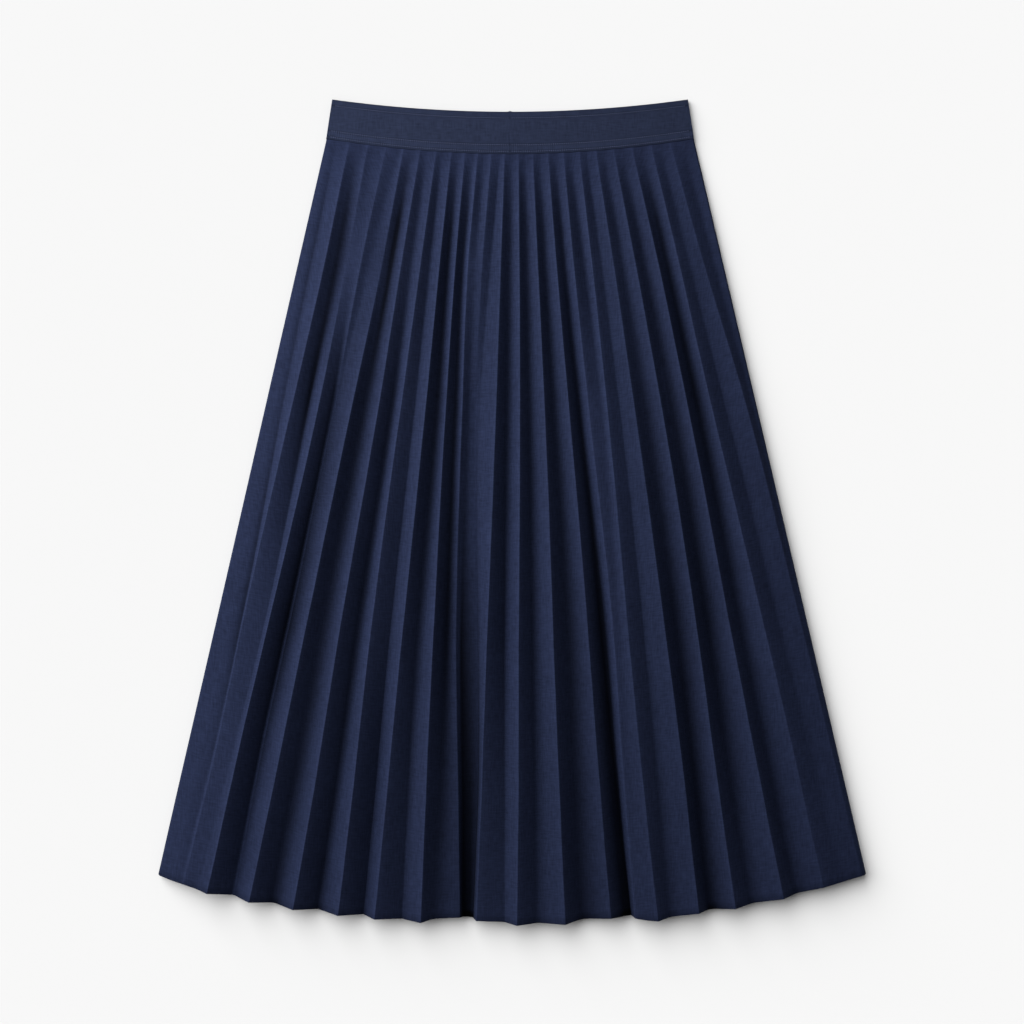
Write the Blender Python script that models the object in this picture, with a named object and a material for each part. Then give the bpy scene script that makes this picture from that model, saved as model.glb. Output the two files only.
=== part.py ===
"""A pleated midi skirt laid flat on its back.

The front is uppermost, +Y points to the waist, +X to the right of someone looking down on it, and
the underside rests on z = 0. Five pieces are cut and sewn: two front waistband halves that meet at
the centre-front seam, a back waistband, and a pleated front and back panel. Every fold runs from
the waist seam to the hem, and the fold tables say where it lies at each level of the skirt.
"""

import bpy
import numpy as np

# Driving sizes, in metres. Half widths are measured from the centre line.
LENGTH = 0.7705  # from the waistband's top corners to the lowest point of the hem
TOP_HALF = 0.1668  # waistband, along its top edge
SEAM_HALF = 0.1725  # waistband's lower edge, where the pleats begin
HEM_HALF = 0.3315
TOP_DIP = 0.0115  # how far the middle of the top edge lies below its corners
SEAM_DIP = 0.0143
BAND_HEIGHT = 0.0400  # at the centre front
HEM_ROUND = 0.0390  # how far the middle of the hem lies below its sides
HEM_CORNER = 0.0045  # the extra lift of the hem in its last tenth at each side
WAIST_SHIFT = -0.0013  # the waist lies this far to the left of the hem's middle
BACK_HEM_SHORTER = 0.0050  # the front's hem laps this far past the back's

CLOTH = 0.0012  # wall of a pleated panel
BAND = 0.0024  # wall of a waistband, which is cloth folded over a stiffener
BAND_EDGE = 0.0005  # how much a waistband thins at its folded edges
GAP = 0.0003  # between pieces that touch or are sewn together
VALLEY_FLAT = 0.0020  # flat floor of a front pleat's valley
LEAST_STEP = 0.0006  # folds that merge stay this far apart
BACK_FOLDS = 20
BACK_REACH = 0.90  # the outermost back folds, as a share of the half width
BACK_CREST_SHARE = 0.42  # the part of a back fold's pitch that stands off the table
BACK_WAVER = 0.006  # how far a back fold strays from even spacing
BACK_SIDE_LAND = 0.975  # where the back starts to turn up to the side fold

# Height of the pleats at each level of the skirt. "down" is the share of the way from waist seam
# to hem; "side" is how far the back's side edges turn up.
SECTIONS = (
    # level    down   front   back    side
    ("seam", 0.000, 0.0011, 0.0012, 0.0004),
    ("yoke", 0.040, 0.0036, 0.0014, 0.0005),
    ("hip", 0.150, 0.0082, 0.0020, 0.0007),
    ("thigh", 0.335, 0.0112, 0.0028, 0.0010),
    ("knee", 0.630, 0.0142, 0.0036, 0.0014),
    ("calf", 0.800, 0.0157, 0.0040, 0.0016),
    ("hem", 1.000, 0.0172, 0.0044, 0.0018),
)
ROWS = (0, 0.02, 0.04, 0.09, 0.15, 0.24, 0.335, 0.43, 0.53, 0.63, 0.715, 0.80, 0.90, 1.0)

# The front's ridges, left to right. The first six columns place the ridge across the skirt, as a
# share of its half width there (-1 is the left side fold). The next four place the valley on its
# right: 0 is at this ridge and 1 at the next. The last lifts the ridge's end off the hem's curve.
FRONT_FOLDS = (
    # name     seam    hip     thigh   knee    calf    hem     v_seam v_thigh v_knee v_hem lift
    ("side", -1.000, -1.000, -1.000, -1.000, -1.000, -1.000, 0.50, 0.60, 0.80, 0.85, 0.0000),
    ("f01", -0.874, -0.871, -0.887, -0.908, -0.908, -0.921, 0.45, 0.56, 0.77, 0.80, 0.0012),
    ("f02", -0.774, -0.785, -0.782, -0.820, -0.839, -0.852, 0.33, 0.85, 0.90, 0.90, 0.0000),
    ("f03", -0.674, -0.706, -0.726, -0.760, -0.777, -0.784, 0.40, 0.10, 0.10, 0.10, 0.0000),
    ("f04", -0.580, -0.607, -0.648, -0.695, -0.713, -0.734, 0.42, 0.44, 0.48, 0.51, 0.0000),
    ("f05", -0.490, -0.517, -0.541, -0.582, -0.594, -0.611, 0.41, 0.61, 0.58, 0.51, 0.0000),
    ("f06", -0.402, -0.427, -0.452, -0.477, -0.480, -0.486, 0.40, 0.55, 0.60, 0.66, 0.0000),
    ("f07", -0.320, -0.336, -0.350, -0.370, -0.376, -0.383, 0.43, 0.54, 0.52, 0.58, 0.0000),
    ("f08", -0.246, -0.262, -0.267, -0.265, -0.261, -0.253, 0.55, 0.58, 0.58, 0.30, 0.0000),
    ("f09", -0.176, -0.203, -0.200, -0.188, -0.167, -0.145, 0.50, 0.50, 0.90, 0.80, 0.0045),
    ("f10", -0.102, -0.134, -0.148, -0.117, -0.104, -0.110, 0.40, 0.45, 0.10, 0.15, 0.0036),
    ("f11", -0.030, -0.045, -0.059, -0.082, -0.090, -0.098, 0.44, 0.50, 0.57, 0.70, 0.0030),
    ("f12", 0.046, 0.043, 0.039, 0.027, 0.022, 0.015, 0.39, 0.42, 0.46, 0.44, 0.0000),
    ("f13", 0.124, 0.132, 0.141, 0.145, 0.147, 0.151, 0.40, 0.42, 0.45, 0.39, 0.0000),
    ("f14", 0.206, 0.221, 0.242, 0.263, 0.269, 0.280, 0.43, 0.55, 0.65, 0.86, 0.0028),
    ("f15", 0.290, 0.302, 0.323, 0.350, 0.345, 0.348, 0.44, 0.78, 0.50, 0.40, 0.0005),
    ("f16", 0.376, 0.389, 0.398, 0.401, 0.403, 0.410, 0.43, 0.43, 0.42, 0.33, -0.0026),
    ("f17", 0.466, 0.491, 0.510, 0.525, 0.529, 0.526, 0.43, 0.44, 0.39, 0.33, 0.0000),
    ("f18", 0.562, 0.593, 0.620, 0.633, 0.627, 0.627, 0.43, 0.42, 0.38, 0.38, 0.0000),
    ("f19", 0.662, 0.698, 0.723, 0.743, 0.751, 0.761, 0.43, 0.45, 0.38, 0.36, 0.0016),
    ("f20", 0.766, 0.793, 0.815, 0.851, 0.866, 0.876, 0.46, 0.42, 0.43, 0.50, 0.0028),
    ("f21", 0.870, 0.904, 0.942, 0.970, 0.978, 0.986, 0.50, 0.50, 0.50, 0.50, 0.0024),
    ("end", 1.000, 1.000, 1.000, 1.000, 1.000, 1.000, 0.00, 0.00, 0.00, 0.00, 0.0020),
)
# Folds that soften or fade on the way down. A ridge's numbers scale its height; a valley's scale
# its depth, and 0 leaves one smooth face from ridge to ridge. Every other fold has 1 throughout.
SOFT_FOLDS = (
    # name    part      seam  hip   thigh knee  calf  hem
    ("side", "valley", 0.50, 0.40, 0.40, 0.40, 0.30, 0.20),
    ("f01", "ridge", 1.00, 0.90, 0.80, 0.55, 0.35, 0.15),
    ("f01", "valley", 1.00, 1.00, 1.00, 0.45, 0.10, 0.00),
    ("f02", "ridge", 1.00, 0.80, 0.90, 1.00, 1.00, 1.00),
    ("f02", "valley", 0.60, 0.60, 1.00, 1.00, 1.00, 1.00),
    ("f03", "ridge", 1.00, 0.60, 0.05, 0.00, 0.00, 0.00),
    ("f08", "valley", 1.00, 1.00, 1.00, 1.00, 0.80, 0.55),
    ("f09", "ridge", 1.00, 1.00, 1.00, 1.00, 0.90, 0.75),
    ("f10", "ridge", 1.00, 1.00, 0.60, 0.00, 0.00, 0.00),
    ("f10", "valley", 1.00, 1.00, 0.70, 1.00, 1.00, 1.00),
    ("f11", "ridge", 1.00, 1.00, 1.00, 1.00, 0.90, 0.75),
    ("f15", "ridge", 1.00, 1.00, 0.85, 0.80, 0.70, 0.62),
    ("f15", "valley", 1.00, 1.00, 0.45, 0.35, 0.20, 0.00),
    ("f20", "ridge", 1.00, 1.00, 1.00, 0.90, 0.80, 0.75),
    ("f21", "ridge", 0.80, 0.80, 0.70, 0.50, 0.40, 0.35),
)
FOLD_LEVELS = ("seam", "hip", "thigh", "knee", "calf", "hem")
VALLEY_LEVELS = ("seam", "thigh", "knee", "hem")

PLEAT_NAVY = (0.020, 0.026, 0.062, 1.0)
BAND_NAVY = (0.022, 0.028, 0.058, 1.0)

DOWN = {level: down for level, down, *_ in SECTIONS}
SECTION_DOWN = [section[1] for section in SECTIONS]
TOP_CORNER_Y = LENGTH / 2
SEAM_CENTRE_Y = TOP_CORNER_Y - TOP_DIP - BAND_HEIGHT
HEM_CENTRE_Y = -LENGTH / 2
FRONT_BAND_Z = BAND + GAP  # underside of the front waistband


def top_y(share):
    """Top edge of the waistband: a shallow arc, lowest at the centre."""
    return TOP_CORNER_Y - TOP_DIP * (1 - share**2)


def seam_y(share):
    return SEAM_CENTRE_Y + SEAM_DIP * share**2


def hem_y(share):
    return HEM_CENTRE_Y + HEM_ROUND * share**2 + HEM_CORNER * share**8


def section(column, down):
    """One column of SECTIONS at any level of the skirt."""
    return np.interp(down, SECTION_DOWN, [row[column] for row in SECTIONS])


def along(levels, values, down):
    """A smooth curve down the skirt through one fold's values at the named levels."""
    knots = np.array([DOWN[level] for level in levels])
    values = np.asarray(values, float)
    slopes = np.gradient(values, knots)
    i = np.clip(np.searchsorted(knots, down, side="right") - 1, 0, len(knots) - 2)
    step = knots[i + 1] - knots[i]
    u = (down - knots[i]) / step
    return (
        values[i] * (1 + 2 * u) * (1 - u) ** 2
        + slopes[i] * step * u * (1 - u) ** 2
        + values[i + 1] * u**2 * (3 - 2 * u)
        + slopes[i + 1] * step * u**2 * (u - 1)
    )


def softness(name, part, down):
    """The height share of a fold's ridge or valley from SOFT_FOLDS, or 1."""
    for fold, kind, *shares in SOFT_FOLDS:
        if (fold, kind) == (name, part):
            return np.interp(down, [DOWN[level] for level in FOLD_LEVELS], shares)
    return np.ones_like(down)


def front_grid(down):
    """(across, height, lift) of the front's fold lines: a column per line, a row per level.

    across is a share of the half width, height a share of the pleats' height, and lift one number
    for each line's end at the hem. Each fold gives its ridge and the sides of its valley's floor.
    """
    ridges = [along(FOLD_LEVELS, fold[1:7], down) for fold in FRONT_FOLDS]
    rises = [softness(fold[0], "ridge", down) for fold in FRONT_FOLDS]
    rises[0] = rises[-1] = np.zeros_like(down)
    lifts = [fold[11] for fold in FRONT_FOLDS]
    floor = VALLEY_FLAT / 2 / half_width(down)
    across = []
    height = []
    lift = []
    for i, fold in enumerate(FRONT_FOLDS[:-1]):
        lean = along(VALLEY_LEVELS, fold[7:11], down)
        valley = ridges[i] + lean * (ridges[i + 1] - ridges[i])
        between = rises[i] + lean * (rises[i + 1] - rises[i])
        level = (1 - softness(fold[0], "valley", down)) * between
        across += [ridges[i], valley - floor, valley + floor]
        height += [rises[i], level, level]
        lift += [lifts[i]] + [(lifts[i] + lifts[i + 1]) / 2] * 2
    across = np.stack(across + [ridges[-1]], axis=1)
    height = np.stack(height + [rises[-1]], axis=1)
    return spread(across, down), height, np.array(lift + [lifts[-1]])


def spread(across, down):
    """Moves merging fold lines apart to LEAST_STEP, working in from the left and then the right."""
    step = LEAST_STEP / half_width(down)
    for column in range(1, across.shape[1]):
        across[:, column] = np.maximum(across[:, column], across[:, column - 1] + step)
    across[:, -1] = 1
    for column in range(across.shape[1] - 2, 0, -1):
        across[:, column] = np.minimum(across[:, column], across[:, column + 1] - step)
    return across


def back_grid(down):
    """(across, height) of the back's fold lines: level lands on the table with crests between."""
    pitch = 2 * BACK_REACH / (BACK_FOLDS - 1)
    lines = [(-1.0, -1.0), (-BACK_SIDE_LAND, 0.0)]
    for k in range(BACK_FOLDS):
        crest = -BACK_REACH + k * pitch + BACK_WAVER * np.sin(2.3 * k)
        foot = BACK_CREST_SHARE / 2 * pitch
        lines += [(crest - foot, 0.0), (crest, 1.0), (crest + foot, 0.0)]
    lines += [(BACK_SIDE_LAND, 0.0), (1.0, -1.0)]
    across, height = np.array(lines).T
    return np.tile(across, (len(down), 1)), np.tile(height, (len(down), 1))


def half_width(down):
    return SEAM_HALF + (HEM_HALF - SEAM_HALF) * down


def waist_shift(down):
    return WAIST_SHIFT * (1 - down)


def place(across, down, hem_lift):
    """x and y of the fold lines: each runs evenly down from its end at the seam to its end at the hem."""
    x = across * half_width(down)[:, None] + waist_shift(down)[:, None]
    y_seam = seam_y(across[0]) - GAP
    y_hem = hem_y(across[-1]) + hem_lift
    return x, y_seam + (y_hem - y_seam) * down[:, None]


def wall_under(x, z):
    """The underside of a cloth wall: each row's line moved down square to itself, with mitres."""
    run = np.diff(x, axis=1)
    rise = np.diff(z, axis=1)
    long = np.hypot(run, rise)
    normal = np.stack([-rise / long, run / long], axis=2)
    corner = normal[:, :-1] + normal[:, 1:]
    corner /= np.linalg.norm(corner, axis=2, keepdims=True)
    reach = CLOTH / np.sum(corner * normal[:, 1:], axis=2, keepdims=True)
    under_x = x.copy()
    under_z = z - CLOTH
    under_x[:, 1:-1] -= (corner * reach)[..., 0]
    under_z[:, 1:-1] = z[:, 1:-1] - (corner * reach)[..., 1]
    return under_x, under_z


def closed_grid(name, top, bottom, material):
    """One solid from two grids of points, shape (rows, columns, 3), joined round their rims."""
    rows, columns = top.shape[:2]
    index = np.arange(rows * columns).reshape(rows, columns)
    under = index + rows * columns
    quads = np.stack([index[:-1, :-1], index[1:, :-1], index[1:, 1:], index[:-1, 1:]], axis=2)
    faces = quads.reshape(-1, 4).tolist()
    faces += (quads[..., ::-1] + rows * columns).reshape(-1, 4).tolist()
    for a, b in (
        (index[0, ::-1], under[0, ::-1]),
        (index[-1], under[-1]),
        (index[:, 0], under[:, 0]),
        (index[::-1, -1], under[::-1, -1]),
    ):
        faces += np.stack([a[:-1], b[:-1], b[1:], a[1:]], axis=1).tolist()
    mesh = bpy.data.meshes.new(name)
    mesh.from_pydata(np.concatenate([top, bottom]).reshape(-1, 3).tolist(), [], faces)
    mesh.materials.append(material)
    obj = bpy.data.objects.new(name, mesh)
    bpy.context.scene.collection.objects.link(obj)
    return obj


def pleated_panel(name, across, top_z, hem_lift, material):
    """A pleated cloth wall from its fold lines and the height of its upper face."""
    x, y = place(across, np.array(ROWS), hem_lift)
    under_x, under_z = wall_under(x, top_z)
    top = np.stack([x, y, top_z], axis=2)
    bottom = np.stack([under_x, y, under_z], axis=2)
    return closed_grid(name, top, bottom, material)


def skirt_front(material):
    down = np.array(ROWS, float)
    across, height, lift = front_grid(down)
    floor = 2 * CLOTH + GAP + section(3, down)
    top_z = floor[:, None] + height * section(2, down)[:, None]
    side = 2 * CLOTH + GAP + section(4, down)
    top_z[:, 0] = top_z[:, -1] = side
    return pleated_panel("skirt_front", across, top_z, lift, material)


def skirt_back(material):
    down = np.array(ROWS, float)
    across, height = back_grid(down)
    crest = section(3, down)[:, None]
    side = section(4, down)[:, None]
    top_z = CLOTH + np.where(height < 0, side, height * crest)
    return pleated_panel("skirt_back", across, top_z, BACK_HEM_SHORTER, material)


def waistband(name, start, end, low, material):
    """A strip of the waistband from one share of the half width to another, its underside at low."""
    share = np.linspace(start, end, 13)
    depth = np.array([0.0, 0.07, 0.5, 0.93, 1.0])[:, None]
    thin = np.array([BAND_EDGE, 0.0, 0.0, 0.0, BAND_EDGE])[:, None]
    x = WAIST_SHIFT + share * (TOP_HALF + (SEAM_HALF - TOP_HALF) * depth)
    y = top_y(share) + (seam_y(share) - top_y(share)) * depth
    flat = np.zeros_like(x)
    top = np.stack([x, y, flat + low + BAND - thin], axis=2)
    bottom = np.stack([x, y, flat + low], axis=2)
    return closed_grid(name, top, bottom, material)


def cloth(name, colour):
    material = bpy.data.materials.new(name)
    material.use_nodes = True
    surface = material.node_tree.nodes["Principled BSDF"]
    surface.inputs["Base Color"].default_value = colour
    surface.inputs["Roughness"].default_value = 0.85
    surface.inputs["Metallic"].default_value = 0.0
    material.diffuse_color = colour
    return material


def clear_scene():
    for obj in list(bpy.data.objects):
        bpy.data.objects.remove(obj, do_unlink=True)


def main():
    clear_scene()
    pleats = cloth("pleat_cloth", PLEAT_NAVY)
    band = cloth("waistband_cloth", BAND_NAVY)
    half_gap = GAP / 2 / TOP_HALF
    skirt_back(pleats)
    skirt_front(pleats)
    waistband("waistband_back", -1.0, 1.0, 0.0, band)
    waistband("waistband_front_left", -1.0, -half_gap, FRONT_BAND_Z, band)
    waistband("waistband_front_right", half_gap, 1.0, FRONT_BAND_Z, band)


main()
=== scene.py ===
"""A navy pleated midi skirt laid flat, front up, on a pale studio floor.

Sizes are in metres. +Y points to the waist and +X to the right of someone looking down. The panels
come from fold tables: each ridge and valley has a place across the skirt at every level, and the
cloth runs from line to line with pressed ridges and soft valleys.
"""

import bpy
import numpy as np
from bpy.props import FloatProperty, FloatVectorProperty, PointerProperty
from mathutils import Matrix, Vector


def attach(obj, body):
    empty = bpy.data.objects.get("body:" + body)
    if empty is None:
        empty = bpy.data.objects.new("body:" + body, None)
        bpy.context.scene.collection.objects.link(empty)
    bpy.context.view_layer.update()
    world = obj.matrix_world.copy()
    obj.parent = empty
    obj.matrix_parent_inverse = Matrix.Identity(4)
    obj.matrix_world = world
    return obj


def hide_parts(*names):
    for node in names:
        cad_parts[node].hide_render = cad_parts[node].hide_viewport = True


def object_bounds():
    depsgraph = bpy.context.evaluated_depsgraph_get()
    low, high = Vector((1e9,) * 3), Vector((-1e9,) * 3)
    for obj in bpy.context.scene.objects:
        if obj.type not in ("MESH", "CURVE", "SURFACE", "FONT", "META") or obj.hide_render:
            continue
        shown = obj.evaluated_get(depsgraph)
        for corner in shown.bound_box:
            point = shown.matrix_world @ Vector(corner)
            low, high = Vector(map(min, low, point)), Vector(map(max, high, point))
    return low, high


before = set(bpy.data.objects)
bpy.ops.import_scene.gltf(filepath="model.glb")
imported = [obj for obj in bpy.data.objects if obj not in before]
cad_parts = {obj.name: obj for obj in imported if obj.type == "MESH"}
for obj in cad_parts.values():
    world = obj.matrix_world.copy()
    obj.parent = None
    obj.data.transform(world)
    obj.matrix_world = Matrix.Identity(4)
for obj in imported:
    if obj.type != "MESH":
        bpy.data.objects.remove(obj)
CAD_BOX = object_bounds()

bl_info = {
    "name": "Pleated Skirt",
    "version": (1, 0, 0),
    "blender": (4, 5, 0),
    "location": "3D View > Sidebar > Skirt",
    "description": "Builds a pleated midi skirt laid flat, with its waistband and stitching",
    "category": "Add Mesh",
}

# The outline. The frame gives the first three. A half width is measured from the centre line.
TOP_CORNER_Y = CAD_BOX[1][1]
HEM_CENTRE_Y = CAD_BOX[0][1]
HEM_HALF = (CAD_BOX[1][0] - CAD_BOX[0][0]) / 2
TOP_HALF = 0.1668
SEAM_HALF = 0.1725
TOP_DIP = 0.0115
SEAM_DIP = 0.0143
HEM_ROUND = 0.0390
HEM_CORNER = 0.0045
WAIST_SHIFT = -0.0013
BACK_HEM_SHORTER = 0.0050
NUB_HEIGHT = 0.0007  # of the centre seam's end, over the top edge
NUB_WIDTH = 0.0012
PANEL_TUCK = 0.0004  # how far the panels reach past the seam

# The waistband.
BAND_HEIGHT = 0.0400
BAND = 0.0024  # thickness
FRONT_BAND_Z = 0.0027  # its front's underside
SEAM_CENTRE_Y = TOP_CORNER_Y - TOP_DIP - BAND_HEIGHT
CENTRE_GAP = 0.00004  # from the centre line to each half
BAND_ROUND = 0.0011  # the edges turn over this width
BAND_DROP = 0.00085  # and fall this far
BAND_END = 0.0009  # the cut ends turn down over this width
BAND_END_DROP = 0.00006
# Painted shade along the waistband's top edge, its seam and its cut ends: widths and strength.
TOP_EDGE_SHADE = 0.0007  # widths of the darker lines along the edges
SEAM_EDGE_SHADE = 0.0008
END_SHADE = 0.04
BAND_FULL = 0.00022  # how full the cloth is between rows of stitches
BAND_FULL_SPAN = (0.15, 0.78)
BAND_WAVE = 0.00010
ROW_PULL = 0.00020  # how far a row of stitches pulls the cloth in
ROW_WIDTH = 0.0007
# Painted shade in the needle holes between stitches.
HOLE_WIDTH = 0.0008
HOLE_SHADE = 1.5  # how dark a needle hole is
RIB_PITCH = 0.00205
RIB_PLACE = 0.0057  # middle of the ribbed strip, up from the seam
RIB_WIDTH = 0.0028
RIB_HEIGHT = 0.00007
# A painted highlight on the crests of the ribs, which also lowers their roughness.
RIB_HIGHLIGHT = 0.45
BACK_GATHER = 0.00030
BACK_GATHERS = 120  # in radians over the half width
THREAD_PROUD = 0.00015  # how far a stitch's middle stands over the cloth
CENTRE_BARE = 0.0035  # share of the half width that has no stitches

# How the panels lie.
BACK_CLOTH = 0.0006  # height of the back's lands
FRONT_REST = 0.0027  # from the back's crests up to the front's valleys
BACK_FOLDS = 20
BACK_REACH = 0.90
BACK_CREST_SHARE = 0.42
BACK_WAVER = 0.006
BACK_WAVER_STEP = 2.3
BACK_SIDE_LAND = 0.975
BACK_NARROWER = 0.0024
BACK_SIDE_RISE = 0.6
# Painted shade at the feet of the back's crests and at the inner edges of its side lands.
BACK_SHADE = 0.3
ROW_CROWDING = 1.12

# Height of the pleats at each level. "down" is the share of the way from seam to hem, and "side" is
# how far the side edges turn up.
SECTIONS = (
    # level    down   front   back    side
    ("seam", 0.000, 0.0003, 0.0012, 0.0004),
    ("yoke", 0.040, 0.0036, 0.0014, 0.0005),
    ("hip", 0.150, 0.0082, 0.0020, 0.0007),
    ("thigh", 0.335, 0.0112, 0.0028, 0.0010),
    ("knee", 0.630, 0.0142, 0.0036, 0.0014),
    ("calf", 0.800, 0.0157, 0.0040, 0.0016),
    ("hem", 1.000, 0.0172, 0.0044, 0.0018),
)

# The front's ridges, left to right. Six columns place the ridge, as a share of the half width. The
# next four place the valley on its right: 0 is at this ridge and 1 at the next. The last lifts the
# ridge's end off the hem's curve.
FRONT_FOLDS = (
    # name     seam    hip     thigh   knee    calf    hem     v_seam v_thigh v_knee v_hem lift
    ("side", -1.000, -1.000, -1.000, -1.000, -1.000, -1.000, 0.06, 0.06, 0.06, 0.06, 0.0000),
    ("roll", -0.975, -0.972, -0.964, -0.956, -0.953, -0.957, 0.30, 0.40, 0.86, 0.78, 0.0005),
    ("f01", -0.874, -0.871, -0.887, -0.908, -0.908, -0.921, 0.45, 0.56, 0.84, 0.62, 0.0012),
    ("f02", -0.774, -0.774, -0.782, -0.820, -0.839, -0.852, 0.33, 0.85, 0.90, 0.90, 0.0000),
    ("f03", -0.674, -0.706, -0.726, -0.760, -0.777, -0.784, 0.75, 0.10, 0.08, 0.03, 0.0000),
    ("f04", -0.580, -0.607, -0.648, -0.695, -0.713, -0.734, 0.42, 0.44, 0.48, 0.51, 0.0000),
    ("f05", -0.490, -0.517, -0.541, -0.582, -0.594, -0.611, 0.41, 0.61, 0.58, 0.51, 0.0000),
    ("f06", -0.402, -0.427, -0.452, -0.477, -0.480, -0.486, 0.40, 0.55, 0.60, 0.66, 0.0000),
    ("f07", -0.320, -0.336, -0.350, -0.370, -0.376, -0.383, 0.43, 0.54, 0.52, 0.58, 0.0000),
    ("f08", -0.246, -0.262, -0.267, -0.265, -0.261, -0.253, 0.55, 0.58, 0.58, 0.30, 0.0000),
    ("f09", -0.176, -0.203, -0.200, -0.188, -0.167, -0.145, 0.50, 0.50, 0.25, 0.35, 0.0045),
    ("f10", -0.102, -0.134, -0.148, -0.117, -0.104, -0.110, 0.65, 0.22, 0.10, 0.15, 0.0036),
    ("f11", -0.030, -0.045, -0.059, -0.082, -0.090, -0.098, 0.44, 0.50, 0.57, 0.70, 0.0030),
    ("f12", 0.046, 0.043, 0.039, 0.027, 0.022, 0.015, 0.39, 0.42, 0.46, 0.44, 0.0000),
    ("f13", 0.124, 0.132, 0.141, 0.145, 0.147, 0.151, 0.40, 0.42, 0.45, 0.39, 0.0000),
    ("f14", 0.206, 0.221, 0.242, 0.263, 0.269, 0.280, 0.43, 0.55, 0.65, 0.86, 0.0028),
    ("f15", 0.290, 0.302, 0.323, 0.350, 0.345, 0.348, 0.44, 0.78, 0.50, 0.40, 0.0005),
    ("f16", 0.376, 0.389, 0.398, 0.401, 0.403, 0.410, 0.43, 0.47, 0.44, 0.33, -0.0026),
    ("f17", 0.466, 0.491, 0.510, 0.525, 0.529, 0.526, 0.43, 0.44, 0.39, 0.33, 0.0000),
    ("f18", 0.562, 0.593, 0.620, 0.633, 0.627, 0.627, 0.43, 0.42, 0.38, 0.38, 0.0000),
    ("f19", 0.662, 0.698, 0.723, 0.743, 0.751, 0.761, 0.43, 0.45, 0.38, 0.36, 0.0016),
    ("f20", 0.766, 0.793, 0.815, 0.851, 0.866, 0.876, 0.46, 0.42, 0.43, 0.50, 0.0028),
    ("f21", 0.870, 0.904, 0.952, 0.975, 0.980, 0.986, 0.50, 0.50, 0.50, 0.50, 0.0024),
    ("end", 1.000, 1.000, 1.000, 1.000, 1.000, 1.000, 0.00, 0.00, 0.00, 0.00, 0.0020),
)
# Ridges that soften or fade on the way down: these scale a ridge's height, and every other ridge
# has 1 throughout.
SOFT_RIDGES = (
    # name  seam  hip   thigh knee  calf  hem
    ("roll", 0.20, 0.12, 0.13, 0.20, 0.24, 0.27),
    ("f01", 1.00, 0.90, 0.80, 0.65, 0.55, 0.52),
    ("f02", 1.00, 0.28, 0.76, 1.00, 1.00, 1.00),
    ("f03", 1.00, 0.78, 0.02, 0.00, 0.00, 0.00),
    ("f04", 1.00, 0.48, 1.00, 1.00, 1.00, 1.00),
    ("f05", 1.00, 0.90, 0.93, 1.00, 1.00, 1.00),
    ("f06", 1.00, 0.92, 0.92, 1.00, 1.00, 1.00),
    ("f08", 1.00, 0.88, 0.78, 0.96, 1.00, 1.00),
    ("f09", 1.00, 0.88, 0.54, 0.26, 0.33, 0.42),
    ("f10", 1.00, 0.85, 0.12, 0.00, 0.00, 0.00),
    ("f11", 1.00, 1.00, 1.00, 1.00, 0.90, 0.75),
    ("f12", 1.00, 0.97, 0.90, 0.98, 1.00, 1.00),
    ("f13", 1.00, 1.00, 0.92, 1.00, 1.00, 1.00),
    ("f14", 1.00, 1.00, 0.91, 0.86, 0.84, 0.85),
    ("f15", 1.00, 0.92, 0.83, 0.80, 0.70, 0.62),
    ("f17", 1.00, 1.00, 1.04, 1.00, 0.93, 0.90),
    ("f18", 1.00, 1.00, 0.98, 0.90, 0.97, 1.00),
    ("f19", 1.00, 1.00, 0.97, 0.90, 0.95, 1.00),
    ("f20", 1.00, 1.00, 1.00, 0.90, 0.80, 0.75),
    ("f21", 0.80, 0.80, 0.84, 0.54, 0.48, 0.46),
)
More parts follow.
